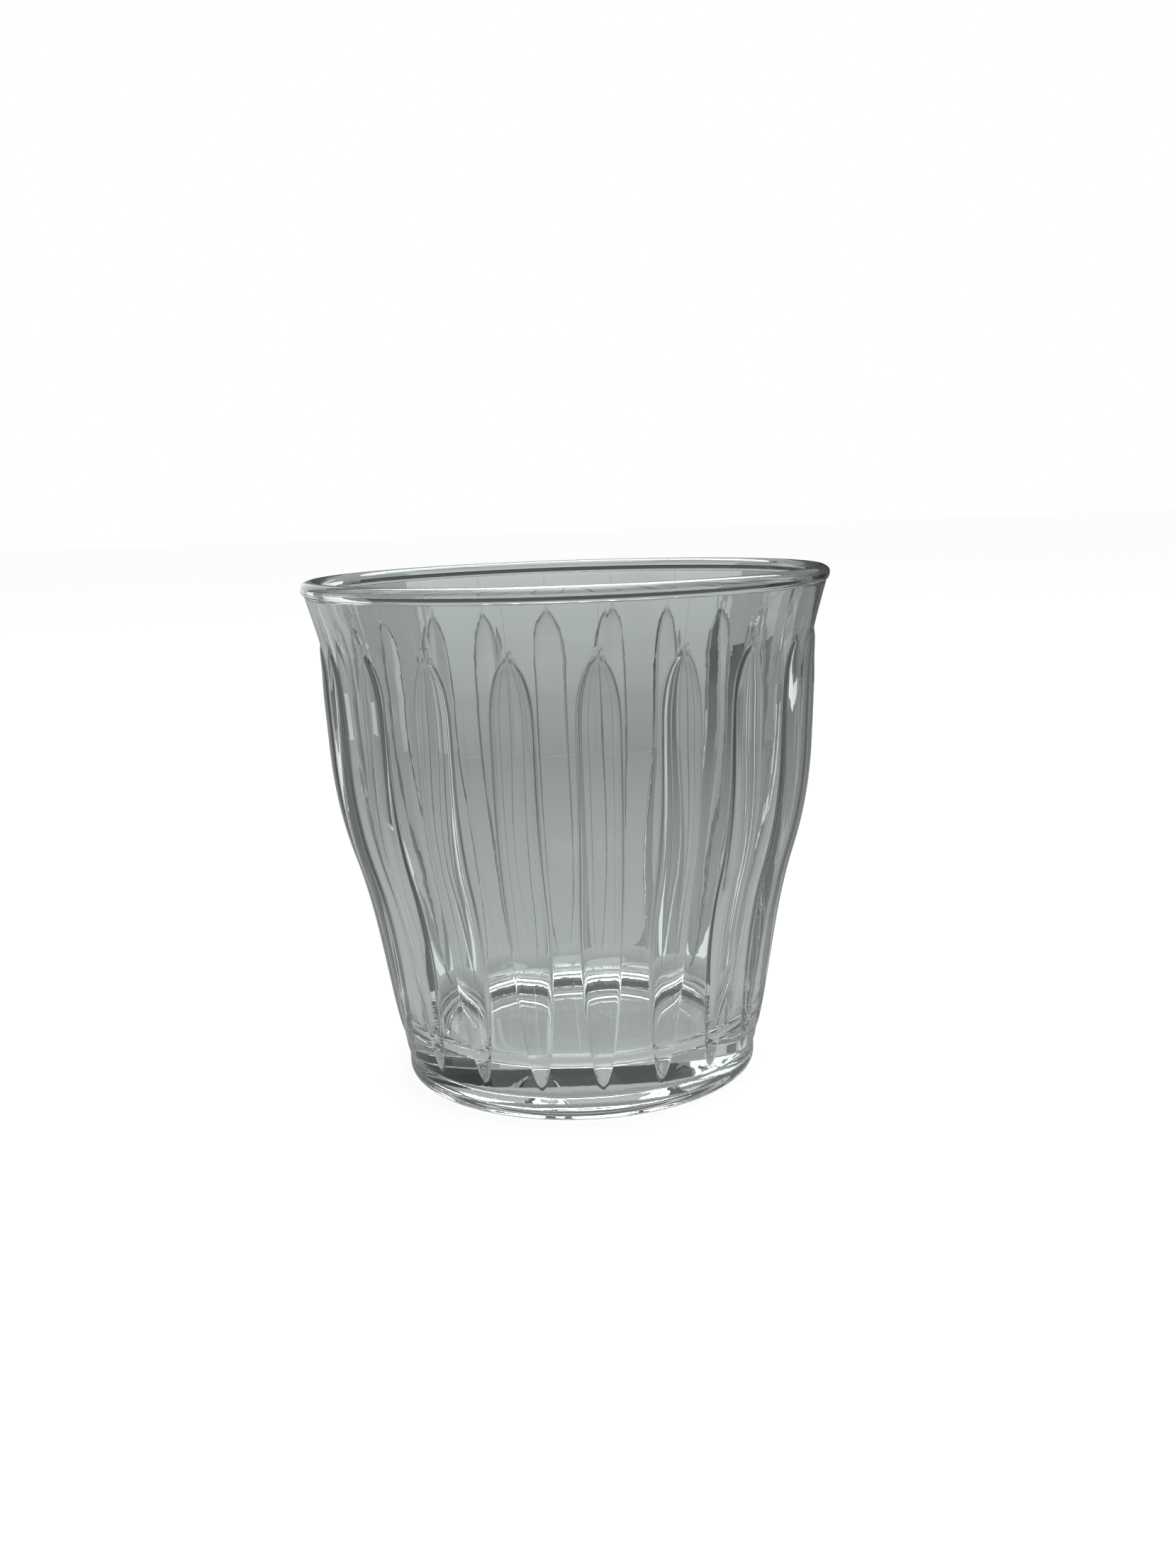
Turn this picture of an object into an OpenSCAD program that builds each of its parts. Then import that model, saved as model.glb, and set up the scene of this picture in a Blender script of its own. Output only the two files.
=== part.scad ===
// Ribbed juice glass: a thick-bottomed pressed tumbler with a rolled rim.
// Millimetres. The glass stands on Z = 0, its axis is Z, and one rib faces -Y.

/* [Rim] */
// Diameter across the rim bead
rim_d = 84.5; // [82:0.1:92]
// Height of the rim bead
bead_h = 2.2; // [1.8:0.1:3.6]
// How far the bead stands out from the wall below it
bead_out = 0.5; // [0.2:0.05:1]
// How far the bead stands in from the inside of the wall
bead_in = 0.1; // [0.05:0.05:0.6]

/* [Wall outline] */
// Diameter of the wall just above the foot
heel_d = 59.3; // [54:0.1:64]
// Diameter of the waist, where the wall leans out most
waist_d = 70.8; // [67:0.1:75]
// Diameter of the shoulder, where the wall turns upright
shoulder_d = 76.8; // [74.5:0.1:79]
// Diameter of the neck, where the flare starts
neck_d = 77.8; // [75:0.1:80]
// Height from the foot to the waist
waist_h = 33; // [28:0.5:40]
// Height from the waist to the shoulder
shoulder_h = 18.2; // [14:0.2:24]
// Height from the shoulder to the neck
neck_h = 11.2; // [8:0.2:20]
// Height from the neck to the bead
flare_h = 13.4; // [10:0.2:20]
// Outward lean at the heel, radius gained per height
heel_lean = 0.17; // [0.1:0.01:0.22]
// Outward lean at the waist
waist_lean = 0.31; // [0.2:0.01:0.36]
// Outward lean at the shoulder and the neck
neck_lean = 0.04; // [0:0.002:0.06]
// Outward lean under the bead
flare_lean = 0.26; // [0.15:0.01:0.35]

/* [Wall thickness] */
// Thickness of the wall under the bead
wall_top = 2.6; // [2:0.1:3.2]
// Thickness of the wall at the cavity floor, between the ribs
wall_low = 4; // [3.4:0.1:5.2]

/* [Ribs] */
// Number of ribs round the wall
rib_count = 20; // [14:1:24]
// Width of a rib
rib_w = 6.4; // [4:0.1:7]
// How far a rib stands out from the wall
rib_h = 1; // [0.4:0.05:1.4]
// Length over which a rib narrows to its arched top
arch_h = 9.6; // [6:0.2:14]
// Length over which a rib narrows to its lower tip
tip_h = 32; // [24:0.5:40]
// Plain collar between the rib tops and the bead
collar_h = 7.9; // [4:0.1:11]
// Plain band between the rib tips and the foot
heel_h = 1.9; // [1:0.1:4]

/* [Base] */
// Height of the foot
foot_h = 4; // [3:0.1:6]
// How far the foot is set in from the heel
foot_step = 0.35; // [0.1:0.05:0.8]
// Rounding of the foot's lower edge
foot_round = 0.8; // [0.4:0.1:1.2]
// Rounding of the foot's upper edge, which leaves a groove under the heel
groove_round = 0.4; // [0.2:0.05:0.8]
// Width of the ring that the foot rests on
rest_w = 3; // [2:0.1:5]
// Depth of the hollow inside that ring
hollow_depth = 1.2; // [0.6:0.1:2]
// Solid glass between the foot and the cavity floor
floor_t = 3.5; // [2:0.1:8]
// Rounding between the cavity floor and the wall
floor_round = 5; // [3:0.5:9]

/* [Hidden] */

glass_colour = [0.72, 0.77, 0.77, 0.6];
// Sides of a full turn, and angle between the points of a small arc
turn_sides = 96;
arc_step = 15;
// Overlap of a cutter past the faces that it opens
cut_over = 1;

// Heights, each stacked on the one below
waist_z = foot_h + waist_h;
shoulder_z = waist_z + shoulder_h;
neck_z = shoulder_z + neck_h;
bead_z = neck_z + flare_h;
glass_h = bead_z + bead_h;
floor_z = foot_h + floor_t;
rib_tip_z = foot_h + heel_h;
rib_top_z = bead_z - collar_h;

// Stations of the wall's outer outline: height, radius, outward lean
flare_r = rim_d / 2 - bead_out;
stations = [
    [foot_h, heel_d / 2, heel_lean],
    [waist_z, waist_d / 2, waist_lean],
    [shoulder_z, shoulder_d / 2, neck_lean],
    [neck_z, neck_d / 2, neck_lean],
    [bead_z, flare_r, flare_lean],
];

// Radius on the cubic between two stations, which keeps both leans
function span_r(a, b, z) =
    let (
        h = b[0] - a[0],
        t = (z - a[0]) / h,
        s = 1 - t
    )
    s * s * (1 + 2 * t) * a[1] + t * t * (3 - 2 * t) * b[1] + h * t * s * (s * a[2] - t * b[2]);

// Outer radius of the wall at a height, between the ribs
function wall_r(z, i = 0) =
    i == len(stations) - 2 || z <= stations[i + 1][0]
        ? span_r(stations[i], stations[i + 1], z)
        : wall_r(z, i + 1);

// Wall thickness, which grows evenly from the bead to the cavity floor
function wall_t(z) = wall_low + (wall_top - wall_low) * (z - floor_z) / (bead_z - floor_z);

// Radius of the cavity at a height above the rounding of its floor
function cavity_r(z) = wall_r(z) - wall_t(z);

// The cavity floor's rounding ends on the wall, along the wall's own lean
round_mid_z = floor_z + floor_round;
cavity_lean = atan((cavity_r(round_mid_z) - cavity_r(floor_z)) / floor_round);
cup_z = round_mid_z - floor_round * sin(cavity_lean);
round_mid_r = cavity_r(cup_z) - floor_round * cos(cavity_lean);

// Ribs: half an ellipse in section, narrow and low at both ends
rib_pitch = 360 / rib_count;
rib_end_w = 0.8;
rib_full_z = rib_tip_z + tip_h;
rib_arch_z = rib_top_z - arch_h;
rib_step = 30;
narrow_step = 9;
straight_rows = 9;

// Share of its full width and height that a rib has: an ellipse at each end, full between
function rib_share(z) =
    z <= rib_tip_z || z >= rib_top_z ? 0
    : z < rib_full_z ? sqrt(1 - pow((rib_full_z - z) / tip_h, 2))
    : z > rib_arch_z ? sqrt(1 - pow((z - rib_arch_z) / arch_h, 2))
    : 1;
function rib_half(z) = max(rib_end_w, rib_w * rib_share(z)) / 2;

// Heights of the rows of points up a rib, close together where it narrows
rib_rows = [
    for (a = [90 : -narrow_step : narrow_step]) rib_tip_z + tip_h * (1 - sin(a)),
    for (i = [0 : straight_rows]) rib_full_z + (rib_arch_z - rib_full_z) * i / straight_rows,
    for (a = [narrow_step : narrow_step : 90]) rib_arch_z + arch_h * sin(a),
];

// Point of the wall at an angle from the front, a rise above it and a height
function wall_point(angle, rise, z) =
    let (r = wall_r(z) + rise) [r * sin(angle), -r * cos(angle), z];

// One turn of points: each rib from edge to edge over its ellipse, then the middle of the gap after it
function wall_ring(z) =
    let (half_angle = rib_half(z) / wall_r(z) * 180 / PI, crest = rib_h * rib_share(z))
    [for (k = [0 : rib_count - 1]) each [
        for (a = [-90 : rib_step : 90])
            wall_point(k * rib_pitch + half_angle * sin(a), crest * cos(a), z),
        wall_point((k + 0.5) * rib_pitch, 0, z),
    ]];

// Solid with the ribbed outside between two heights
module ribbed_block(low_z, high_z) {
    least_gap = 0.1;
    rows = [
        low_z,
        for (z = rib_rows) if (z > low_z + least_gap && z < high_z - least_gap) z,
        high_z,
    ];
    n = len(wall_ring(low_z));
    last = len(rows) - 1;
    low_mid = len(rows) * n;
    high_mid = low_mid + 1;
    points = [for (z = rows) each wall_ring(z), [0, 0, low_z], [0, 0, high_z]];
    sides = [
        for (i = [0 : last - 1], j = [0 : n - 1])
            let (a = i * n + j, b = i * n + (j + 1) % n)
            each [[a, a + n, b], [b, a + n, b + n]]
    ];
    bottom = [for (j = [0 : n - 1]) [low_mid, j, (j + 1) % n]];
    top = [for (j = [0 : n - 1]) [high_mid, last * n + (j + 1) % n, last * n + j]];
    polyhedron(points, concat(sides, bottom, top), convexity = 6);
}

// Drinking space up to a height, for cutting out of the solid
module cavity(high_z) {
    steps = ceil((high_z - cup_z) / 3);
    floor_arc = [
        for (i = [0 : 8])
            let (a = -90 + (90 - cavity_lean) * i / 8)
            [round_mid_r + floor_round * cos(a), round_mid_z + floor_round * sin(a)]
    ];
    wall_line = [
        for (i = [1 : steps])
            let (z = cup_z + (high_z - cup_z) * i / steps)
            [cavity_r(z), z]
    ];
    over_z = high_z + cut_over;
    top_line = [[cavity_r(high_z), over_z], [0, over_z]];
    rotate_extrude($fn = turn_sides)
        polygon(concat([[0, floor_z]], floor_arc, wall_line, top_line));
}

// Rolled rim, round on top and drawn in to the wall below
module rim_bead() {
    half_h = bead_h / 2;
    mid_z = bead_z + half_h;
    in_r = cavity_r(bead_z);
    mid_r = (flare_r + bead_out + in_r - bead_in) / 2;
    half_w = flare_r + bead_out - mid_r;
    outside = [for (a = [0 : arc_step : 90]) [flare_r + bead_out * sin(a), mid_z - half_h * cos(a)]];
    crown = [
        for (a = [arc_step : arc_step : 180 - arc_step])
            [mid_r + half_w * cos(a), mid_z + half_h * sin(a)]
    ];
    inside = [for (a = [90 : -arc_step : 0]) [in_r - bead_in * sin(a), mid_z - half_h * cos(a)]];
    color(glass_colour)
        rotate_extrude($fn = turn_sides)
            polygon(concat(outside, crown, inside));
}

// Plain flared band between the rib tops and the bead
module collar() {
    steps = 5;
    heights = [for (i = [0 : steps]) rib_top_z + collar_h * i / steps];
    outside = [for (z = heights) [wall_r(z), z]];
    inside = [for (i = [steps : -1 : 0]) [cavity_r(heights[i]), heights[i]]];
    color(glass_colour)
        rotate_extrude($fn = turn_sides)
            polygon(concat(outside, inside));
}

// Ribbed wall, from the rounding of the cavity floor to the collar
module ribbed_wall() {
    color(glass_colour)
        difference() {
            ribbed_block(cup_z, rib_top_z);
            cavity(rib_top_z);
        }
}

// Thick bottom with the lower ends of the ribs and the rounded cavity floor
module base() {
    color(glass_colour)
        difference() {
            ribbed_block(foot_h, cup_z);
            cavity(cup_z);
        }
}

// Plain foot with a hollow underside and the ring that the glass rests on
module foot() {
    foot_r = heel_d / 2 - foot_step;
    rest_r = foot_r - foot_round;
    hollow_r = rest_r - rest_w;
    lower_edge = [
        for (a = [-90 : arc_step : 0])
            [rest_r + foot_round * cos(a), foot_round + foot_round * sin(a)]
    ];
    upper_edge = [
        for (a = [0 : arc_step : 90])
            [foot_r - groove_round + groove_round * cos(a), foot_h - groove_round + groove_round * sin(a)]
    ];
    hollow = [
        for (a = [0 : arc_step : 90])
            [hollow_r * sin(a), hollow_depth * cos(a)]
    ];
    color(glass_colour)
        rotate_extrude($fn = turn_sides)
            polygon(concat(hollow, lower_edge, upper_edge, [[0, foot_h]]));
}

rim_bead();
collar();
ribbed_wall();
base();
foot();
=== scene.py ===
"""Dresses the ribbed juice glass: one seamless glass body, its finish, the studio and the camera.

All lengths are metres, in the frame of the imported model: the glass stands on Z = 0, its axis is Z, and
one rib faces -Y.
"""

import logging
import math
from collections.abc import Iterator
from dataclasses import dataclass, field
from enum import Enum
from typing import ClassVar

import bpy
from mathutils import Matrix, Vector

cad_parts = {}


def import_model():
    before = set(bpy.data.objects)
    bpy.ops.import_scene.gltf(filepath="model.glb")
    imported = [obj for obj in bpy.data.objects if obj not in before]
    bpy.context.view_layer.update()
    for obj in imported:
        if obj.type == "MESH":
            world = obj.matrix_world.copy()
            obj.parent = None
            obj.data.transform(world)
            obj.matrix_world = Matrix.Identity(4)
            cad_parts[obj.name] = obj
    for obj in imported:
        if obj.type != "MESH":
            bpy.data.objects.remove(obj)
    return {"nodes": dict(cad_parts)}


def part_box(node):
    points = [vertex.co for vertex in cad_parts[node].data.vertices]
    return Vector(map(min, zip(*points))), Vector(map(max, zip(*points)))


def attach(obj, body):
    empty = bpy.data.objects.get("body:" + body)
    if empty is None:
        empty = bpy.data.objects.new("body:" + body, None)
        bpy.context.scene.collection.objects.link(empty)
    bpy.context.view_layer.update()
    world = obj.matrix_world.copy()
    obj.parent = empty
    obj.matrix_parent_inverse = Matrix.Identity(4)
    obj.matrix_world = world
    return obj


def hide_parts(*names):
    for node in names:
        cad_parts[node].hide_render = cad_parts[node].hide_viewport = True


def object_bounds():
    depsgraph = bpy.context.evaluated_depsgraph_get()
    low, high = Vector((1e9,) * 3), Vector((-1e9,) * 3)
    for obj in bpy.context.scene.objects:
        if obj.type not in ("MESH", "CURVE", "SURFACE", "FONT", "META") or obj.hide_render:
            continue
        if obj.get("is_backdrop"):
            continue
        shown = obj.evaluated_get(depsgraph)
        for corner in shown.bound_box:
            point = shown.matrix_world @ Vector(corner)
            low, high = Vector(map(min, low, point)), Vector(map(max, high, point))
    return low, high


LOG = logging.getLogger("juice_glass")
BODY = "root"
MM = 0.001
WHITE = (1.0, 1.0, 1.0, 1.0)

# Names of the point attributes that a mesh carries
RIBBED_ATTRIBUTE = "ribbed"
# Strength of the painted shade, dark stripes along the rib edges
EDGE_SHADE_ATTRIBUTE = "rib_edge_shade"
ALONG_ATTRIBUTE = "along"

# Radii and heights of the cards that make a room round the glass
ROOM_R = 0.27
STRIP_R = 0.265
POST_R = 0.2
TOP_R = 0.12
SHADE_R = 0.05
POLE_R = 0.0001
TOP_Z = 0.38
ROOM_Z = 0.26
DARK_Z = 0.15
LOW_Z = 0.08
STRIP_Z = 0.045
POST_Z = 0.04

Colour = tuple[float, float, float]
Pair = tuple[float, float]
FULL_TURN: Pair = (-180.0, 180.0)


class Side(Enum):
    """Which side of the glass a point of the outline lies on."""

    PLAIN = 0.0
    RIBBED = 1.0


class Value:
    """A node's output socket that takes part in Python arithmetic."""

    def __init__(self, graph: "Graph", socket: bpy.types.NodeSocket) -> None:
        """Wraps a socket.

        Args:
            graph: The graph that new Math nodes go into.
            socket: The output socket to read.
        """
        self.graph = graph
        self.socket = socket

    def __add__(self, other: "Operand") -> "Value":
        """Sum."""
        return self.graph.maths("ADD", self, other)

    def __radd__(self, other: "Operand") -> "Value":
        """Sum with the number on the left."""
        return self.graph.maths("ADD", other, self)

    def __sub__(self, other: "Operand") -> "Value":
        """Difference."""
        return self.graph.maths("SUBTRACT", self, other)

    def __rsub__(self, other: "Operand") -> "Value":
        """Difference with the number on the left."""
        return self.graph.maths("SUBTRACT", other, self)

    def __mul__(self, other: "Operand") -> "Value":
        """Product."""
        return self.graph.maths("MULTIPLY", self, other)

    def __rmul__(self, other: "Operand") -> "Value":
        """Product with the number on the left."""
        return self.graph.maths("MULTIPLY", other, self)

    def __truediv__(self, other: "Operand") -> "Value":
        """Quotient."""
        return self.graph.maths("DIVIDE", self, other)

    def __rtruediv__(self, other: "Operand") -> "Value":
        """Quotient with the number on the left."""
        return self.graph.maths("DIVIDE", other, self)


Operand = Value | float | int


class Graph:
    """A node tree, shader or geometry, that is filled by Python expressions."""

    # Numbers of the colour sockets of a Mix node
    MIX_START = 6
    MIX_END = 7
    MIX_RESULT = 2

    def __init__(self, tree: bpy.types.NodeTree) -> None:
        """Empties a tree and takes it over.

        Args:
            tree: The tree to fill.
        """
        self.tree = tree
        tree.nodes.clear()

    def node(
        self,
        kind: str,
        settings: dict[str, object] | None = None,
        sockets: dict[str | int, object] | None = None,
    ) -> bpy.types.Node:
        """Adds one node.

        Args:
            kind: The node's type name.
            settings: Properties of the node, which are set first.
            sockets: Values or links of its inputs, by name or number.

        Returns:
            The new node.
        """
        made = self.tree.nodes.new(kind)
        for name, value in (settings or {}).items():
            setattr(made, name, value)
        for key, value in (sockets or {}).items():
            if isinstance(value, Value):
                value = value.socket
            if isinstance(value, bpy.types.NodeSocket):
                self.tree.links.new(value, made.inputs[key])
            else:
                made.inputs[key].default_value = value
        return made

    def value(
        self,
        kind: str,
        settings: dict[str, object] | None = None,
        sockets: dict[str | int, object] | None = None,
        output: str | int = 0,
    ) -> Value:
        """Adds one node and wraps one of its outputs.

        Args:
            kind: The node's type name.
            settings: Properties of the node, which are set first.
            sockets: Values or links of its inputs, by name or number.
            output: The output to wrap, by name or number.

        Returns:
            The wrapped output.
        """
        return Value(self, self.node(kind, settings, sockets).outputs[output])

    def maths(self, operation: str, *operands: Operand) -> Value:
        """Adds one Math node.

        Args:
            operation: The Math node's operation.
            operands: Its inputs in order.

        Returns:
            The result.
        """
        return self.value("ShaderNodeMath", {"operation": operation}, dict(enumerate(operands)))

    def blend(self, factor: Value, start: Colour | Value, end: Colour | Value) -> Value:
        """Adds one Mix node for colours.

        Args:
            factor: Zero for the first colour, one for the second.
            start: The first colour.
            end: The second colour.

        Returns:
            The mixed colour.
        """
        sockets: dict[str | int, object] = {"Factor": factor}
        for number, colour in ((self.MIX_START, start), (self.MIX_END, end)):
            sockets[number] = colour if isinstance(colour, Value) else (*colour, 1.0)
        return self.value("ShaderNodeMix", {"data_type": "RGBA"}, sockets, self.MIX_RESULT)

    def stretched(self, place: Value, share: float) -> Value:
        """Adds one Mapping node that draws a pattern out along Z.

        Args:
            place: The coordinates.
            share: Scale of Z; the smaller it is, the longer the pattern.

        Returns:
            The scaled coordinates.
        """
        scale = (1.0, 1.0, share)
        return self.value("ShaderNodeMapping", {"vector_type": "POINT"}, {"Vector": place, "Scale": scale})

    def noise(self, place: Value, size: float, detail: float) -> Value:
        """Adds one Noise texture.

        Args:
            place: The coordinates.
            size: Size of its largest forms.
            detail: Number of finer layers.

        Returns:
            The noise, between zero and one.
        """
        return self.value(
            "ShaderNodeTexNoise",
            {"noise_dimensions": "3D"},
            {"Vector": place, "Scale": 1.0 / size, "Detail": detail},
        )


def new_material(name: str) -> tuple[bpy.types.Material, Graph]:
    """Makes an empty material whose own light isn't sampled as a lamp.

    Args:
        name: Name of the material.

    Returns:
        The material and its shader graph.
    """
    material = bpy.data.materials.new(name)
    material.use_nodes = True
    material.cycles.emission_sampling = "NONE"
    return material, Graph(material.node_tree)


def add_object(name: str, data: bpy.types.ID) -> bpy.types.Object:
    """Adds an object to the scene.

    Args:
        name: Name of the object.
        data: Its mesh, lamp or camera.

    Returns:
        The object.
    """
    made = bpy.data.objects.new(name, data)
    bpy.context.scene.collection.objects.link(made)
    return made


def arc(start: float, end: float, count: int) -> Iterator[float]:
    """Angles along an arc, both ends included.

    Args:
        start: First angle in degrees.
        end: Last angle in degrees.
        count: Number of angles.

    Yields:
        Each angle in radians.
    """
    for i in range(count):
        yield math.radians(start + (end - start) * i / (count - 1))


@dataclass(frozen=True)
class Station:
    """One height of the wall's outer outline, with the radius and the outward lean there."""

    z: float
    r: float
    lean: float


@dataclass(frozen=True)
class OutlinePoint:
    """One point of the half section through the axis."""

    r: float
    z: float
    side: Side = Side.PLAIN


@dataclass
class WallCurve:
    """The wall's outer outline, a smooth curve through a few stations, and its thickness."""

    foot_z: float
    bead_z: float
    flare_r: float
    floor_z: float
    heel_r: float = 29.65 * MM
    waist_r: float = 35.4 * MM
    shoulder_r: float = 38.4 * MM
    neck_r: float = 38.9 * MM
    waist_h: float = 33.0 * MM
    shoulder_h: float = 18.2 * MM
    neck_h: float = 11.2 * MM
    heel_lean: float = 0.17
    waist_lean: float = 0.31
    neck_lean: float = 0.04
    flare_lean: float = 0.26
    thickness_top: float = 2.6 * MM
    thickness_low: float = 4.0 * MM

    def stations(self) -> list[Station]:
        """Places the stations.

        Returns:
            The stations from the foot to the bead.
        """
        waist_z = self.foot_z + self.waist_h
        shoulder_z = waist_z + self.shoulder_h
        return [
            Station(self.foot_z, self.heel_r, self.heel_lean),
            Station(waist_z, self.waist_r, self.waist_lean),
            Station(shoulder_z, self.shoulder_r, self.neck_lean),
            Station(shoulder_z + self.neck_h, self.neck_r, self.neck_lean),
            Station(self.bead_z, self.flare_r, self.flare_lean),
        ]

    def outer(self, z: float) -> float:
        """Outer radius of the wall between the ribs.

        Args:
            z: Height.

        Returns:
            The radius on the cubic between the two stations around that height.
        """
        stations = self.stations()
        upper = next((i for i, s in enumerate(stations) if i and z <= s.z), len(stations) - 1)
        a, b = stations[upper - 1], stations[upper]
        height = b.z - a.z
        t = (z - a.z) / height
        s = 1.0 - t
        ends = s * s * (1 + 2 * t) * a.r + t * t * (3 - 2 * t) * b.r
        return ends + height * t * s * (s * a.lean - t * b.lean)

    def inner(self, z: float) -> float:
        """Radius of the cavity above the rounding of its floor.

        Args:
            z: Height.

        Returns:
            The outer radius less the thickness, which grows evenly down to the cavity floor.
        """
        share = (z - self.floor_z) / (self.bead_z - self.floor_z)
        return self.outer(z) - self.thickness_low - (self.thickness_top - self.thickness_low) * share


@dataclass(frozen=True)
class Ribs:
    """Sizes of the ribs that stand out from the wall, with an arch above and a long tip below."""

    tip_z: float
    top_z: float
    count: int = 20
    width: float = 6.4 * MM
    height: float = 1.0 * MM
    arch: float = 9.6 * MM
    tip: float = 32.0 * MM
    edge_in: float = 0.7 * MM
    edge_out: float = 0.2 * MM
    # Width, inset from the edge, lowest height and fade of the painted shade along the rib edges
    line_width: float = 0.5 * MM
    edge_shade_inset: float = 0.15 * MM
    edge_shade_z: float = 20.0 * MM
    edge_shade_fade: float = 18.0 * MM


class RibbedTurn:
    """Geometry tree that turns a half section about Z and leaves raised ribs on its outside."""

    INPUTS = {
        "Outline": "NodeSocketGeometry",
        "Ribs": "NodeSocketInt",
        "Rib width": "NodeSocketFloat",
        "Rib height": "NodeSocketFloat",
        "Arch length": "NodeSocketFloat",
        "Tip length": "NodeSocketFloat",
        "Rib tip": "NodeSocketFloat",
        "Rib top": "NodeSocketFloat",
        "Edge inside": "NodeSocketFloat",
        "Edge outside": "NodeSocketFloat",
        "Edge shade width": "NodeSocketFloat",
        "Edge shade inset": "NodeSocketFloat",
        "Edge shade foot": "NodeSocketFloat",
        "Edge shade fade": "NodeSocketFloat",
        "Glass": "NodeSocketMaterial",
    }
    CROWN_COLUMNS = 10
    EDGE_COLUMNS = 7
    LAND_COLUMNS = 3
    MEAN_RADIUS = 36.0 * MM
    LEAST_RADIUS = 1.0 * MM
    LEAST_HALF = 0.05 * MM
    LEAST_SHARE = 0.3
    MERGE_DISTANCE = 0.002 * MM

    def __init__(self) -> None:
        """Makes the tree with its named inputs."""
        self.tree = bpy.data.node_groups.new("ribbed_turn", "GeometryNodeTree")
        self.tree.is_modifier = True
        self.graph = Graph(self.tree)
        self.identifiers = {
            name: self.tree.interface.new_socket(name, in_out="INPUT", socket_type=kind).identifier
            for name, kind in self.INPUTS.items()
        }
        self.tree.interface.new_socket("Glass body", in_out="OUTPUT", socket_type="NodeSocketGeometry")
        entry = self.graph.node("NodeGroupInput")
        self.given = {name: Value(self.graph, entry.outputs[name]) for name in self.INPUTS}
        self.columns_per_rib = self.CROWN_COLUMNS + 2 * self.EDGE_COLUMNS + self.LAND_COLUMNS
        self.pitch = math.tau / self.given["Ribs"]

    def clamp(self, value: Value) -> Value:
        """Keeps a value between zero and one."""
        return self.graph.value("ShaderNodeClamp", None, {"Value": value})

    def sample(self, kind: str, value: Value, row: Value) -> Value:
        """Reads a value at one point of the outline.

        Args:
            kind: Data type of the value.
            value: The field to read.
            row: Number of the point.

        Returns:
            The value there.
        """
        return self.graph.value(
            "GeometryNodeSampleIndex",
            {"data_type": kind, "domain": "POINT"},
            {"Geometry": self.given["Outline"], "Value": value, "Index": row},
        )

    def half_width(self, height: Value) -> Value:
        """Half width of a rib: an ellipse at each end, straight between.

        Args:
            height: Height of the point.

        Returns:
            The half width there.
        """
        given = self.given
        full_z = given["Rib tip"] + given["Tip length"]
        arch_z = given["Rib top"] - given["Arch length"]
        below = self.clamp((full_z - height) / given["Tip length"])
        above = self.clamp((height - arch_z) / given["Arch length"])
        share = self.graph.maths("SQRT", (1 - below * below) * (1 - above * above))
        return given["Rib width"] / 2 * share

    def offset(self, step: Value, half: Value, radius: Value, ribbed: Value) -> Value:
        """Angle of a column from its rib's crest; the columns crowd together at the rib's edges.

        Args:
            step: Number of the column, counted from the left side of its rib's crown.
            half: Half width of the rib at this height.
            radius: Radius of the outline at this height.
            ribbed: One on the ribbed side, otherwise zero.

        Returns:
            The angle in radians.
        """
        given = self.given
        follow = self.graph.maths("MAXIMUM", half, given["Rib width"] / 2 * self.LEAST_SHARE)
        plain_angle = given["Rib width"] / (2 * self.MEAN_RADIUS)
        rib_angle = follow / self.graph.maths("MAXIMUM", radius, self.LEAST_RADIUS)
        half_angle = plain_angle + (rib_angle - plain_angle) * ribbed
        inside = given["Edge inside"] / self.MEAN_RADIUS
        outside = given["Edge outside"] / self.MEAN_RADIUS
        crown_angle = half_angle - inside
        land_angle = self.pitch - half_angle * 2 - outside * 2
        offset = -1 * crown_angle
        first = 0
        for count, width in (
            (self.CROWN_COLUMNS, crown_angle * 2),
            (self.EDGE_COLUMNS, inside + outside),
            (self.LAND_COLUMNS, land_angle),
            (self.EDGE_COLUMNS, inside + outside),
        ):
            offset = offset + self.clamp((step - first) / count) * width
            first += count
        return offset

    def rise(self, away: Value, half: Value) -> Value:
        """Height of the surface above the wall: half an ellipse, lower where the rib is narrow.

        Args:
            away: Distance from the rib's crest along the surface.
            half: Half width of the rib at this height.

        Returns:
            The height.
        """
        given, maths = self.given, self.graph.maths
        share = maths("MINIMUM", away / maths("MAXIMUM", half, self.LEAST_HALF), 1.0)
        crest = given["Rib height"] * half / (given["Rib width"] / 2)
        return crest * maths("SQRT", 1 - share * share)

    def edge_shade(self, away: Value, half: Value, height: Value) -> Value:
        """Strength of the painted shade along a rib's edge, a dark stripe which fades towards the foot.

        Args:
            away: Distance from the rib's crest along the surface.
            half: Half width of the rib at this height.
            height: Height of the point.

        Returns:
            One on the painted shade, zero beside it.
        """
        given = self.given
        beside = self.graph.maths("ABSOLUTE", away - (half - given["Edge shade inset"]))
        across = self.clamp(1 - beside / (given["Edge shade width"] / 2))
        return across * self.clamp((height - given["Edge shade foot"]) / given["Edge shade fade"])

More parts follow.
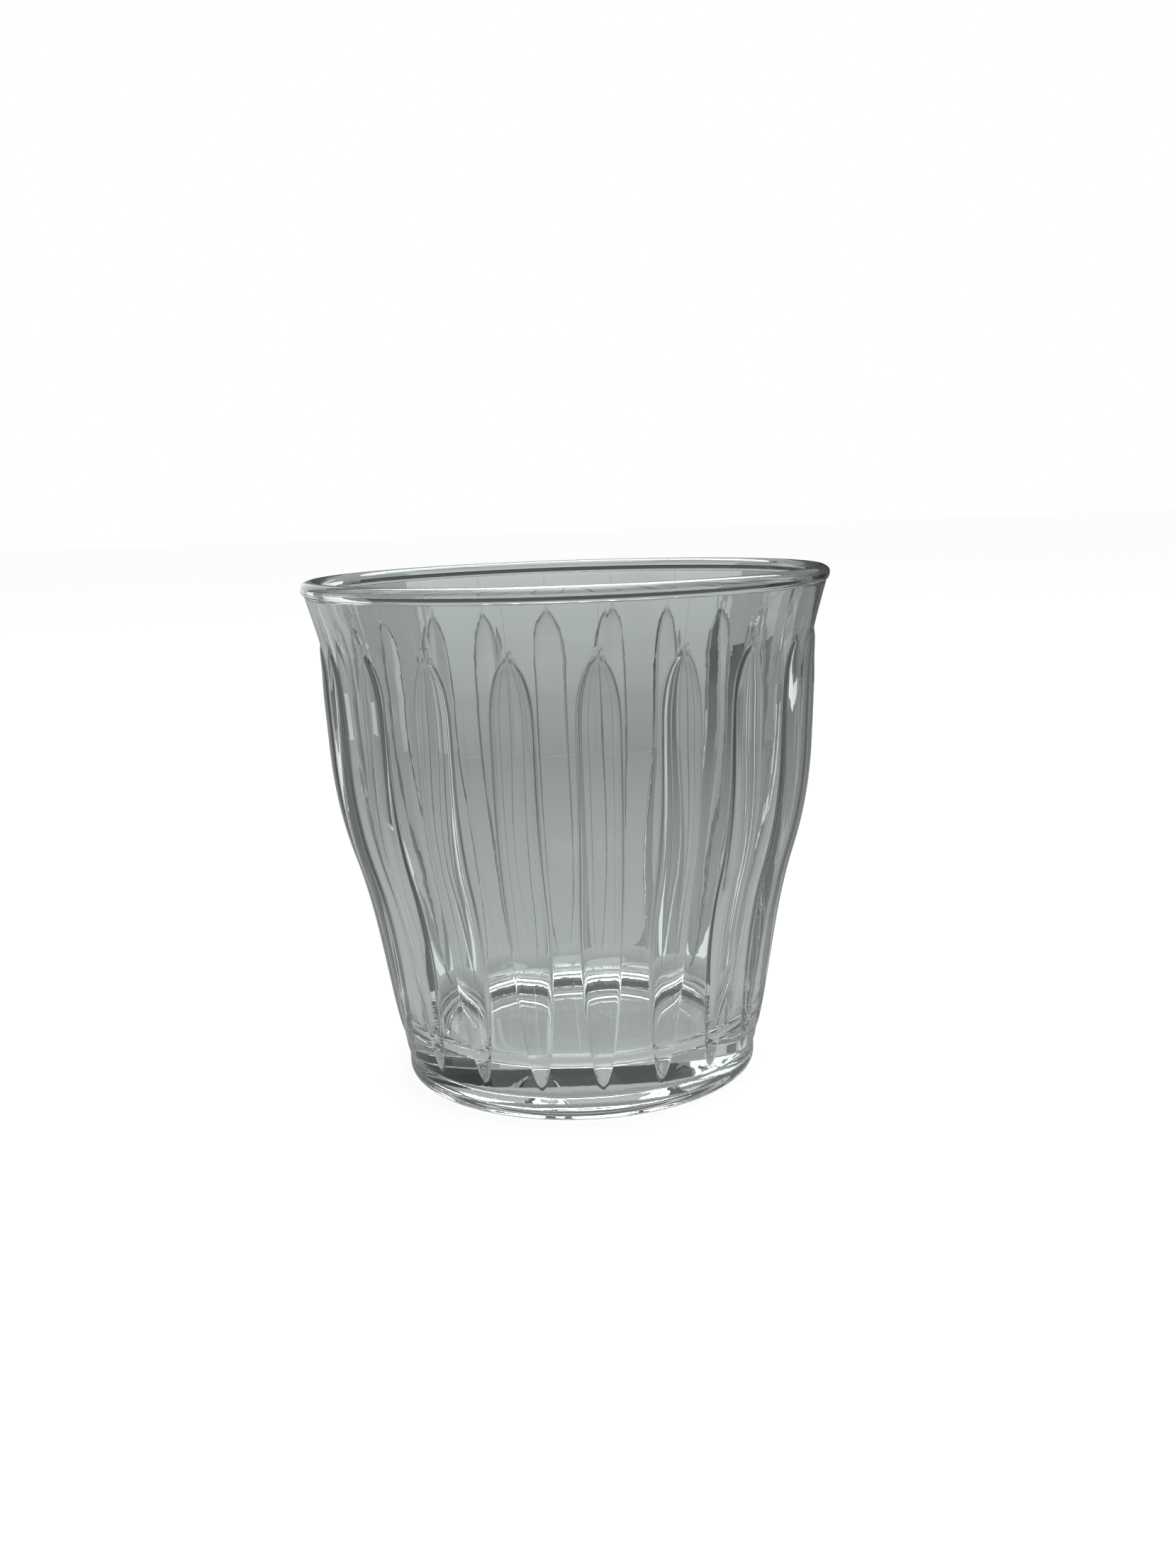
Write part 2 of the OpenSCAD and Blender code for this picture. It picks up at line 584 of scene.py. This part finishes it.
    def build(self) -> None:
        """Fills the tree: a sheet with a row for each point of the outline, bent round the axis."""
        graph, given = self.graph, self.given
        rows = graph.value(
            "GeometryNodeAttributeDomainSize", {"component": "MESH"}, {0: given["Outline"]}
        )
        columns = given["Ribs"] * self.columns_per_rib
        sheet = graph.value(
            "GeometryNodeMeshGrid",
            None,
            {"Size X": columns, "Size Y": rows - 1, "Vertices X": columns + 1, "Vertices Y": rows},
        )
        position = graph.value("GeometryNodeInputPosition")
        spot = graph.node("ShaderNodeSeparateXYZ", None, {0: position})
        column = graph.maths("ROUND", Value(graph, spot.outputs["X"]) + columns / 2)
        row = graph.maths("ROUND", Value(graph, spot.outputs["Y"]) + (rows - 1) / 2)
        point = self.sample("FLOAT_VECTOR", position, row)
        section = graph.node("ShaderNodeSeparateXYZ", None, {0: point})
        radius = Value(graph, section.outputs["X"])
        height = Value(graph, section.outputs["Z"])
        side = graph.value(
            "GeometryNodeInputNamedAttribute", {"data_type": "FLOAT"}, {"Name": RIBBED_ATTRIBUTE}
        )
        ribbed = self.sample("FLOAT", side, row)

        rib = graph.maths("FLOOR", (column + 0.5) / self.columns_per_rib)
        half = self.half_width(height)
        offset = self.offset(column - rib * self.columns_per_rib, half, radius, ribbed)
        angle = rib * self.pitch + offset
        away = graph.maths("MINIMUM", graph.maths("ABSOLUTE", offset), self.pitch - offset) * radius
        turned = radius + self.rise(away, half) * ribbed
        place = graph.value(
            "ShaderNodeCombineXYZ",
            None,
            {
                "X": turned * graph.maths("SINE", angle),
                "Y": -1 * (turned * graph.maths("COSINE", angle)),
                "Z": height,
            },
        )

        # Painted shade: a dark stripe along each rib edge, kept for the glass's colour
        edge_shade = self.edge_shade(away, half, height) * ribbed
        body = graph.value(
            "GeometryNodeStoreNamedAttribute",
            {"data_type": "FLOAT", "domain": "POINT"},
            {"Geometry": sheet, "Name": EDGE_SHADE_ATTRIBUTE, "Value": edge_shade},
        )
        body = graph.value("GeometryNodeSetPosition", None, {"Geometry": body, "Position": place})

        # The seam and both poles are merged, which closes the body
        body = graph.value(
            "GeometryNodeMergeByDistance", None, {"Geometry": body, "Distance": self.MERGE_DISTANCE}
        )
        body = graph.value(
            "GeometryNodeSetShadeSmooth", {"domain": "FACE"}, {0: body, "Shade Smooth": True}
        )
        body = graph.value("GeometryNodeRealizeInstances", None, {"Geometry": body})
        body = graph.value(
            "GeometryNodeSetMaterial", None, {"Geometry": body, "Material": given["Glass"]}
        )
        graph.node("NodeGroupOutput", None, {0: body})


@dataclass(frozen=True)
class ClearGlass:
    """Clear pressed glass with a faint cast, mould waves, drawn streaks and painted shade, dark stripes
    along its rib edges.

    Light that has been reflected inside the glass as often as a trapped depth says is given a mean tone.
    """

    name: str = "clear_pressed_glass"
    tint: Colour = (0.955, 0.975, 0.97)
    clear: Colour = (0.985, 0.99, 0.99)
    # Colour of the painted shade along the rib edges
    edge_shade: Colour = (0.03, 0.032, 0.032)
    ior: float = 1.52
    wave_size: float = 11.0 * MM
    wave_detail: float = 1.0
    wave_depth: float = 0.012 * MM
    streak_size: float = 0.9 * MM
    streak_detail: float = 2.0
    streak_stretch: float = 0.03
    streak_depth: float = 0.002 * MM
    rough_most: float = 0.035
    rough_power: float = 6.0
    trapped_depth_wall: int = 4
    trapped_depth_base: int = 7
    trapped_wall: Colour = (0.12, 0.125, 0.125)
    trapped_foot: Colour = (0.52, 0.55, 0.54)
    foot_z: float = 4.5 * MM
    base_z: float = 13.0 * MM

    def make(self) -> bpy.types.Material:
        """Builds the material.

        Returns:
            The finished material.
        """
        material, graph = new_material(self.name)
        place = graph.value("ShaderNodeTexCoord", output="Object")
        waves = graph.noise(place, self.wave_size, self.wave_detail)
        drawn = graph.stretched(place, self.streak_stretch)
        streaks = graph.noise(drawn, self.streak_size, self.streak_detail)
        relief = waves * self.wave_depth + streaks * self.streak_depth
        normal = graph.value("ShaderNodeBump", None, {"Height": relief, "Distance": 1.0, "Strength": 1.0})
        shader = graph.node(
            "ShaderNodeBsdfPrincipled",
            None,
            {
                "Base Color": self.colour(graph, waves),
                "Roughness": graph.maths("POWER", streaks, self.rough_power) * self.rough_most,
                "IOR": self.ior,
                "Transmission Weight": 1.0,
                "Normal": normal,
            },
        )
        height = Value(graph, graph.node("ShaderNodeSeparateXYZ", None, {"Vector": place}).outputs["Z"])
        mixed = graph.node(
            "ShaderNodeMixShader",
            None,
            {0: self.trapped(graph, height), 1: shader.outputs[0], 2: self.glow(graph, height)},
        )
        graph.node("ShaderNodeOutputMaterial", None, {"Surface": mixed.outputs[0]})
        return material

    def colour(self, graph: Graph, waves: Value) -> Value:
        """Adds the cast, which varies with the waves, and the painted shade, dark stripes along the rib
        edges.

        Args:
            graph: The shader graph to add it to.
            waves: The mould waves.

        Returns:
            The colour.
        """
        # Painted shade: dark stripes along the rib edges are mixed into the colour
        edge = graph.node("ShaderNodeAttribute", {"attribute_name": EDGE_SHADE_ATTRIBUTE})
        cast = graph.blend(waves, self.tint, self.clear)
        return graph.blend(Value(graph, edge.outputs["Fac"]), cast, self.edge_shade)

    def trapped(self, graph: Graph, height: Value) -> Value:
        """Adds the mask of trapped light, which may go deeper in the bottom than in the wall.

        Args:
            graph: The shader graph to add it to.
            height: Height of the point.

        Returns:
            One where the light is trapped, otherwise zero.
        """
        path = graph.node("ShaderNodeLightPath")
        depth = Value(graph, path.outputs["Glossy Depth"])
        in_wall = graph.maths("GREATER_THAN", height, self.base_z)
        wall_lead = in_wall * (self.trapped_depth_base - self.trapped_depth_wall)
        # Half a step below the whole number, so that the number itself counts as trapped
        return graph.maths("GREATER_THAN", depth + wall_lead, self.trapped_depth_base - 0.5)

    def glow(self, graph: Graph, height: Value) -> bpy.types.NodeSocket:
        """Adds the mean tone of trapped light, which is paler in the foot.

        Args:
            graph: The shader graph to add it to.
            height: Height of the point.

        Returns:
            The shader's output.
        """
        above_foot = graph.maths("GREATER_THAN", height, self.foot_z)
        tone = graph.blend(above_foot, self.trapped_foot, self.trapped_wall)
        return graph.node("ShaderNodeEmission", None, {"Color": tone, "Strength": 1.0}).outputs[0]


@dataclass
class Tumbler:
    """The whole glass: one seamless body with a rolled rim, ribs, a thick bottom and a foot."""

    rim_r: float
    rim_z: float
    bead_z: float
    collar_z: float
    cup_z: float
    foot_z: float
    nodes: tuple[str, ...]
    finish: ClearGlass = field(default_factory=ClearGlass)
    bead_out: float = 0.5 * MM
    bead_in: float = 0.1 * MM
    heel_h: float = 1.9 * MM
    heel_round: float = 0.35 * MM
    floor_t: float = 3.5 * MM
    floor_round: float = 5.0 * MM
    foot_step: float = 0.35 * MM
    foot_round: float = 0.8 * MM
    groove_round: float = 0.4 * MM
    rest_w: float = 3.0 * MM
    hollow_depth: float = 1.2 * MM
    wall_step: float = 1.3 * MM
    close_step: float = 0.6 * MM
    cavity_step: float = 2.6 * MM
    close_zone: float = 8.0 * MM
    corner_rows: tuple[float, ...] = (0.3 * MM, 0.1 * MM)
    floor_rows: tuple[float, ...] = (0.8, 0.6, 0.4, 0.2, 0.0)
    groove_turn: float = 80.0
    heel_turn: float = -70.0
    crown_turn: float = 10.0

    @classmethod
    def from_frame(cls, nodes: tuple[str, ...]) -> "Tumbler":
        """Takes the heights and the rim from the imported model.

        Args:
            nodes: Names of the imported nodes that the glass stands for.

        Returns:
            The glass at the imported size.
        """
        low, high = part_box("rim_bead")
        return cls(
            rim_r=min(high.x, high.y, -low.x, -low.y),
            rim_z=high.z,
            bead_z=low.z,
            collar_z=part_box("collar")[0].z,
            cup_z=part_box("ribbed_wall")[0].z,
            foot_z=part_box("base")[0].z,
            nodes=nodes,
        )

    def wall(self) -> WallCurve:
        """Fits the wall's outline to this size.

        Returns:
            The outline.
        """
        return WallCurve(
            foot_z=self.foot_z,
            bead_z=self.bead_z,
            flare_r=self.rim_r - self.bead_out,
            floor_z=self.foot_z + self.floor_t,
        )

    def ribs(self) -> Ribs:
        """The ribs at this size."""
        return Ribs(tip_z=self.foot_z + self.heel_h, top_z=self.collar_z)

    def foot_points(self) -> Iterator[OutlinePoint]:
        """Goes along the foot, from the axis outwards and up to the groove under the heel.

        Yields:
            Each point in order.
        """
        foot_r = self.wall().heel_r - self.foot_step
        rest_r = foot_r - self.foot_round
        hollow_r = rest_r - self.rest_w
        for turn in arc(0.0, 90.0, count=9):
            yield OutlinePoint(hollow_r * math.sin(turn), self.hollow_depth * math.cos(turn))
        for turn in arc(-90.0, 0.0, count=6):
            edge = self.foot_round
            yield OutlinePoint(rest_r + edge * math.cos(turn), edge + edge * math.sin(turn))
        for turn in arc(0.0, self.groove_turn, count=6):
            edge = self.groove_round
            yield OutlinePoint(
                foot_r - edge + edge * math.cos(turn), self.foot_z - edge + edge * math.sin(turn)
            )

    def wall_points(self) -> Iterator[OutlinePoint]:
        """Goes up the outside of the wall, from the heel's rounded edge to the bead.

        Yields:
            Each point in order.
        """
        wall, ribs = self.wall(), self.ribs()
        edge = self.heel_round
        heel_z = self.foot_z + edge
        for turn in arc(self.heel_turn, 0.0, count=6):
            r = wall.outer(heel_z) - edge + edge * math.cos(turn)
            yield OutlinePoint(r, heel_z + edge * math.sin(turn))
        z = heel_z + self.close_step
        while z < self.bead_z - self.wall_step / 2:
            yield OutlinePoint(wall.outer(z), z, Side.RIBBED)
            narrow = z < ribs.tip_z + self.close_zone or ribs.top_z - ribs.arch < z < ribs.top_z
            z += self.close_step if narrow else self.wall_step
        for below in self.corner_rows:
            yield OutlinePoint(wall.outer(self.bead_z - below), self.bead_z - below, Side.RIBBED)

    def bead_points(self) -> Iterator[OutlinePoint]:
        """Goes over the rolled rim, from the outside of the wall to the inside.

        Yields:
            Each point in order.
        """
        wall = self.wall()
        half_h = (self.rim_z - self.bead_z) / 2
        mid_z = self.bead_z + half_h
        out_r, in_r = wall.outer(self.bead_z), wall.inner(self.bead_z)
        mid_r = (self.rim_r + in_r - self.bead_in) / 2
        half_w = self.rim_r - mid_r
        for turn in arc(0.0, 90.0, count=7):
            yield OutlinePoint(out_r + self.bead_out * math.sin(turn), mid_z - half_h * math.cos(turn))
        for turn in arc(self.crown_turn, 180.0 - self.crown_turn, count=15):
            yield OutlinePoint(mid_r + half_w * math.cos(turn), mid_z + half_h * math.sin(turn))
        for turn in arc(90.0, 0.0, count=7):
            yield OutlinePoint(in_r - self.bead_in * math.sin(turn), mid_z - half_h * math.cos(turn))

    def cavity_points(self) -> Iterator[OutlinePoint]:
        """Goes down the inside of the wall to the rounded floor and in to the axis.

        Yields:
            Each point in order.
        """
        wall = self.wall()
        floor_z = self.foot_z + self.floor_t
        mid_z = floor_z + self.floor_round
        lean = math.asin((mid_z - self.cup_z) / self.floor_round)
        mid_r = wall.inner(self.cup_z) - self.floor_round * math.cos(lean)
        rows = math.ceil((self.bead_z - self.cup_z) / self.cavity_step)
        for below in reversed(self.corner_rows):
            yield OutlinePoint(wall.inner(self.bead_z - below), self.bead_z - below)
        for row in range(1, rows):
            z = self.bead_z + (self.cup_z - self.bead_z) * row / rows
            yield OutlinePoint(wall.inner(z), z)
        for turn in arc(-math.degrees(lean), -90.0, count=16):
            yield OutlinePoint(
                mid_r + self.floor_round * math.cos(turn), mid_z + self.floor_round * math.sin(turn)
            )
        for share in self.floor_rows:
            yield OutlinePoint(mid_r * share, floor_z)

    def outline(self) -> bpy.types.Object:
        """Builds the half section as a chain of points in the XZ plane.

        Returns:
            An object whose mesh holds the points in order, with the side of each in an attribute.
        """
        points = [*self.foot_points(), *self.wall_points(), *self.bead_points(), *self.cavity_points()]
        mesh = bpy.data.meshes.new("glass")
        edges = [(i, i + 1) for i in range(len(points) - 1)]
        mesh.from_pydata([(p.r, 0.0, p.z) for p in points], edges, [])
        sides = mesh.attributes.new(RIBBED_ATTRIBUTE, "FLOAT", "POINT")
        for item, point in zip(sides.data, points):
            item.value = point.side.value
        return add_object("glass", mesh)

    def build(self) -> bpy.types.Object:
        """Turns the half section into the ribbed body and dresses it.

        Returns:
            The finished glass, a plain mesh.
        """
        glass = self.outline()
        turn = RibbedTurn()
        turn.build()
        ribs = self.ribs()
        modifier = glass.modifiers.new("ribbed_turn", "NODES")
        modifier.node_group = turn.tree
        sizes = {
            "Ribs": ribs.count,
            "Rib width": ribs.width,
            "Rib height": ribs.height,
            "Arch length": ribs.arch,
            "Tip length": ribs.tip,
            "Rib tip": ribs.tip_z,
            "Rib top": ribs.top_z,
            "Edge inside": ribs.edge_in,
            "Edge outside": ribs.edge_out,
            "Edge shade width": ribs.line_width,
            "Edge shade inset": ribs.edge_shade_inset,
            "Edge shade foot": ribs.edge_shade_z,
            "Edge shade fade": ribs.edge_shade_fade,
            "Glass": self.finish.make(),
        }
        for name, value in sizes.items():
            modifier[turn.identifiers[name]] = value
        evaluated = glass.evaluated_get(bpy.context.evaluated_depsgraph_get())
        mesh = bpy.data.meshes.new_from_object(evaluated)
        glass.modifiers.clear()
        glass.data = mesh
        mesh.name = "glass"
        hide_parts(*self.nodes)
        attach(glass, BODY)
        return glass


class Layer(Enum):
    """Height of a card that lies on the table; a higher one covers those below it."""

    TABLE = -0.02 * MM
    SHADOW_RING = -0.015 * MM
    SHADE = -0.01 * MM
    TOP = -0.005 * MM


@dataclass(frozen=True)
class Card:
    """A plain card round the glass, part of a ring that only the glass shows.

    An edge of the ring is its radius and its height, and the tone runs evenly from the low edge to the
    high edge. Turns are in degrees round Z, from the side that lies behind the glass in the photograph,
    towards the right. Folds are the share by which upright folds make the tone vary.
    """

    TINT: ClassVar[Colour] = (1.0, 1.07, 1.035)
    STEP: ClassVar[float] = 3.75
    FOLD_SIZE: ClassVar[float] = 40.0 * MM
    FOLD_DETAIL: ClassVar[float] = 2.0
    FOLD_STRETCH: ClassVar[float] = 0.05
    NOISE_MIDDLE: ClassVar[float] = 0.5
    NOISE_GAIN: ClassVar[float] = 4.0

    name: str
    low: Pair
    high: Pair
    tones: Pair
    turns: Pair = FULL_TURN
    folds: float = 0.0

    @classmethod
    def upright(
        cls, name: str, radius: float, heights: Pair, tones: Pair, turns: Pair, folds: float = 0.0
    ) -> "Card":
        """Makes a card that stands upright.

        Args:
            name: Name of the card.
            radius: Distance from the axis.
            heights: Heights of its two edges.
            tones: Tones at its two edges.
            turns: First and last angle.
            folds: Share by which folds make its tone vary.

        Returns:
            The card.
        """
        return cls(name, (radius, heights[0]), (radius, heights[1]), tones, turns, folds)

    @classmethod
    def flat(cls, name: str, radii: Pair, layer: Layer, tones: Pair, turns: Pair = FULL_TURN) -> "Card":
        """Makes a card that lies on the table.

        Args:
            name: Name of the card.
            radii: Radii of its inner and outer edge.
            layer: Height at which it lies.
            tones: Tones at its two edges.
            turns: First and last angle.

        Returns:
            The card.
        """
        return cls(name, (radii[0], layer.value), (radii[1], layer.value), tones, turns)

    def build(self) -> bpy.types.Object:
        """Builds the card and its tone.

        Returns:
            The card.
        """
        start, end = self.turns
        count = math.ceil((end - start) / self.STEP)
        turns = list(arc(start, end, count + 1))
        points = [
            (r * math.sin(turn), r * math.cos(turn), z) for r, z in (self.low, self.high) for turn in turns
        ]
        size = len(turns)
        faces = [(i, i + 1, size + i + 1, size + i) for i in range(count)]
        mesh = bpy.data.meshes.new(self.name)
        mesh.from_pydata(points, [], faces)
        along = mesh.attributes.new(ALONG_ATTRIBUTE, "FLOAT", "POINT")
        for number, item in enumerate(along.data):
            item.value = float(number >= size)
        mesh.materials.append(self.material())
        card = add_object(self.name, mesh)
        card.visible_camera = False
        card.visible_diffuse = False
        card.visible_shadow = False
        card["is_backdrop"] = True
        return card

    def material(self) -> bpy.types.Material:
        """Makes the card's own light, which lights nothing else.

        Returns:
            The material.
        """
        material, graph = new_material(self.name)
        along = graph.node("ShaderNodeAttribute", {"attribute_name": ALONG_ATTRIBUTE})
        low, high = self.tones
        tone = low + Value(graph, along.outputs["Fac"]) * (high - low)
        if self.folds:
            place = graph.value("ShaderNodeTexCoord", output="Object")
            upright = graph.stretched(place, self.FOLD_STRETCH)
            noise = graph.noise(upright, self.FOLD_SIZE, self.FOLD_DETAIL)
            tone = tone * (1 + (noise - self.NOISE_MIDDLE) * (self.NOISE_GAIN * self.folds))
        colour = graph.value("ShaderNodeVectorMath", {"operation": "SCALE"}, {0: self.TINT, "Scale": tone})
        glow = graph.node("ShaderNodeEmission", None, {"Color": colour, "Strength": 1.0})
        graph.node("ShaderNodeOutputMaterial", None, {"Surface": glow.outputs[0]})
        return material


@dataclass(frozen=True)
class Softbox:
    """A soft square lamp aimed at the glass."""

    name: str
    place: tuple[float, float, float]
    aim: tuple[float, float, float]
    width: float
    length: float
    power: float

    def build(self) -> bpy.types.Object:
        """Builds the lamp.

        Returns:
            The lamp.
        """
        data = bpy.data.lights.new(self.name, "AREA")
        data.shape = "RECTANGLE"
        data.size = self.width
        data.size_y = self.length
        data.energy = self.power
        lamp = add_object(self.name, data)
        lamp.location = self.place
        gaze = Vector(self.aim) - Vector(self.place)
        lamp.rotation_euler = gaze.to_track_quat("-Z", "Y").to_euler()
        return lamp


@dataclass
class Studio:
    """White floor and backdrop, a soft lamp, and the grey cards that the glass shows."""

    floor_half: float = 4.0
    floor_gap: float = 0.05 * MM
    floor_keep: float = 0.22
    floor_white: float = 0.9
    cards: tuple[Card, ...] = (
        Card.flat("table_card", (POLE_R, ROOM_R), Layer.TABLE, (0.45, 0.29)),
        # Painted shadow: a darker ring on the table round the foot, where the glass's contact shadow falls
        Card.flat("contact_shadow_ring", (0.0295, 0.048), Layer.SHADOW_RING, (0.24, 0.42)),
        Card.flat("table_shade", (SHADE_R, ROOM_R), Layer.SHADE, (0.27, 0.2), (20.0, 60.0)),
        Card.upright("left_side", ROOM_R, (0.0, ROOM_Z), (0.24, 0.28), (-95.0, -45.0), 0.3),
        Card.upright("left_strip", STRIP_R, (0.0, STRIP_Z), (0.8, 0.5), (-82.0, -75.0)),
        Card.upright("left_window", STRIP_R, (0.0, STRIP_Z), (0.55, 0.3), (-60.0, -52.0)),
        Card.upright("left_bright", ROOM_R, (0.0, LOW_Z), (0.38, 0.56), (-45.0, -19.0), 0.12),
        Card.upright("left_low", ROOM_R, (0.0, LOW_Z), (0.29, 0.33), (-19.0, -7.0), 0.1),
        Card.upright("middle_low", ROOM_R, (0.0, LOW_Z), (0.29, 0.56), (-7.0, 20.0), 0.06),
        Card.upright("right_low", ROOM_R, (0.0, LOW_Z), (0.25, 0.3), (20.0, 33.0), 0.1),
        Card.upright("right_far", ROOM_R, (0.0, 0.028), (0.25, 0.25), (33.0, 58.0), 0.1),
        Card.upright("right_dark", ROOM_R, (0.028, LOW_Z), (0.05, 0.03), (33.0, 58.0)),
        Card.upright("right_side", ROOM_R, (0.0, ROOM_Z), (0.16, 0.22), (58.0, 105.0), 0.3),
        Card.upright("right_strip", STRIP_R, (0.0, STRIP_Z), (0.8, 0.5), (68.0, 74.0)),
        Card.upright("left_post", POST_R, (0.0, POST_Z), (0.06, 0.2), (-33.0, -27.0)),
        Card.flat("left_post_shade", (SHADE_R, POST_R), Layer.SHADE, (0.25, 0.06), (-33.0, -27.0)),
        Card.upright("right_post", POST_R, (0.0, POST_Z), (0.2, 0.05), (24.0, 32.0)),
        Card.flat("right_post_shade", (SHADE_R, POST_R), Layer.TOP, (0.32, 0.2), (24.0, 32.0)),
        Card.upright("left_glow", POST_R, (0.0, POST_Z), (0.9, 0.6), (-41.0, -35.0)),
        Card.flat("left_glow_shine", (SHADE_R, POST_R), Layer.SHADE, (0.8, 0.9), (-41.0, -35.0)),
        Card.upright("right_glow", POST_R, (0.0, 0.024), (0.9, 0.9), (38.0, 44.0)),
        Card.flat("right_glow_shine", (SHADE_R, POST_R), Layer.TOP, (0.8, 0.9), (38.0, 44.0)),
        Card.upright("window_card", STRIP_R, (0.065, 0.2), (1.1, 1.1), (-40.0, -16.0)),
        Card.upright("left_high", ROOM_R, (LOW_Z, ROOM_Z), (0.22, 0.3), (-45.0, -12.5)),
        Card.upright("dark_strip", ROOM_R, (LOW_Z, DARK_Z), (0.06, 0.08), (-12.5, 24.0)),
        Card.upright("darkest_strip", ROOM_R, (LOW_Z, DARK_Z), (0.015, 0.02), (24.0, 58.0)),
        Card.upright("back_high", ROOM_R, (DARK_Z, ROOM_Z), (0.4, 0.5), (-12.5, 58.0)),
        Card.upright("front_card", ROOM_R, (0.0, ROOM_Z), (0.24, 0.2), (105.0, 265.0)),
        Card("upper_card", (ROOM_R, ROOM_Z), (TOP_R, TOP_Z), (0.7, 1.0), (50.0, 335.0)),
        Card("lamp_card", (ROOM_R, ROOM_Z), (TOP_R, TOP_Z), (6.0, 6.0), (-25.0, 50.0)),
        Card("top_card", (TOP_R, TOP_Z), (POLE_R, TOP_Z), (4.0, 4.0)),
    )
    lamps: tuple[Softbox, ...] = (
        Softbox("top_softbox", (0.05, 0.08, 0.7), (0.0, 0.0, 0.04), 0.5, 0.5, 6.0),
    )

    def build(self) -> None:
        """Builds the world, the floor, the cards and the lamps."""
        self.world()
        self.floor()
        for card in self.cards:
            card.build()
        for lamp in self.lamps:
            lamp.build()

    @staticmethod
    def seen(graph: Graph) -> Value:
        """Adds the Light Path mask of the rays that see the floor as plain white.

        Args:
            graph: The shader graph to add it to.

        Returns:
            One for camera, glossy and transmission rays, otherwise zero.
        """
        path = graph.node("ShaderNodeLightPath")
        mask = Value(graph, path.outputs["Is Camera Ray"])
        for name in ("Is Glossy Ray", "Is Transmission Ray"):
            mask = graph.maths("MAXIMUM", mask, Value(graph, path.outputs[name]))
        return mask

    def world(self) -> None:
        """Makes the white background, which gives even light."""
        world = bpy.data.worlds.new("white_studio")
        bpy.context.scene.world = world
        world.use_nodes = True
        graph = Graph(world.node_tree)
        shade = graph.node("ShaderNodeBackground", None, {"Color": WHITE, "Strength": 1.0})
        graph.node("ShaderNodeOutputWorld", None, {"Surface": shade.outputs[0]})

    def floor(self) -> None:
        """Builds the white floor, which keeps a little of the glass's shadow."""
        half = self.floor_half
        corners = ((-half, -half), (half, -half), (half, half), (-half, half))
        mesh = bpy.data.meshes.new("floor")
        mesh.from_pydata([(x, y, -self.floor_gap) for x, y in corners], [], [(0, 1, 2, 3)])
        material, graph = new_material("white_floor")
        pale = (self.floor_white, self.floor_white, self.floor_white, 1.0)
        matte = graph.node("ShaderNodeBsdfDiffuse", None, {"Color": pale})
        glow = graph.node("ShaderNodeEmission", None, {"Color": WHITE, "Strength": 1.0})
        mixed = graph.node(
            "ShaderNodeMixShader",
            None,
            {0: self.seen(graph) * (1.0 - self.floor_keep), 1: matte.outputs[0], 2: glow.outputs[0]},
        )
        graph.node("ShaderNodeOutputMaterial", None, {"Surface": mixed.outputs[0]})
        mesh.materials.append(material)
        floor = add_object("floor", mesh)
        floor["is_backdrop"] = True


@dataclass(frozen=True)
class LightPaths:
    """How often light may bounce, so that it finds its way out of the thick bottom."""

    total: int = 32
    glossy: int = 16
    transmission: int = 20

    def apply(self) -> None:
        """Sets the scene's numbers of bounces."""
        cycles = bpy.context.scene.cycles
        cycles.max_bounces = self.total
        cycles.glossy_bounces = self.glossy
        cycles.transmission_bounces = self.transmission


@dataclass(frozen=True)
class PhotoCamera:
    """The camera at the photograph's place, worked out from the rim, the foot and the ribs."""

    image_height_px: float = 2212.0
    focal_px: float = 2050.0
    sensor: float = 36.0
    distance: float = 237.14 * MM
    height: float = 93.38 * MM
    pitch: float = math.radians(11.13)
    yaw: float = math.radians(0.61)
    roll: float = math.radians(1.936)
    turn: float = math.radians(-5.8)

    def build(self) -> bpy.types.Object:
        """Builds the camera and makes it the scene's.

        Returns:
            The camera.
        """
        data = bpy.data.cameras.new("photo_camera")
        data.sensor_width = self.sensor
        data.lens = self.sensor * self.focal_px / self.image_height_px
        camera = add_object("photo_camera", data)
        level = math.radians(90.0)
        aim = (
            Matrix.Rotation(-self.yaw, 4, "Z")
            @ Matrix.Rotation(level - self.pitch, 4, "X")
            @ Matrix.Rotation(-self.roll, 4, "Z")
        )
        stand = Matrix.Translation((0.0, -self.distance, self.height))
        camera.matrix_world = Matrix.Rotation(self.turn, 4, "Z") @ stand @ aim
        bpy.context.scene.camera = camera
        return camera


def main() -> None:
    """Loads the frame and builds the glass, the studio and the camera."""
    logging.basicConfig(level=logging.INFO, format="%(name)s: %(message)s")
    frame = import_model()
    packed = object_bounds()
    bpy.context.scene.view_settings.view_transform = "Standard"
    LightPaths().apply()
    PhotoCamera().build()
    glass = Tumbler.from_frame(tuple(frame["nodes"])).build()
    LOG.info("%s: %d faces", glass.name, len(glass.data.polygons))
    Studio().build()
    sizes = {
        name: [list(corner) for corner in corners]
        for name, corners in (("cad", packed), ("visual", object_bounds()))
    }


if __name__ == "__main__":
    main()
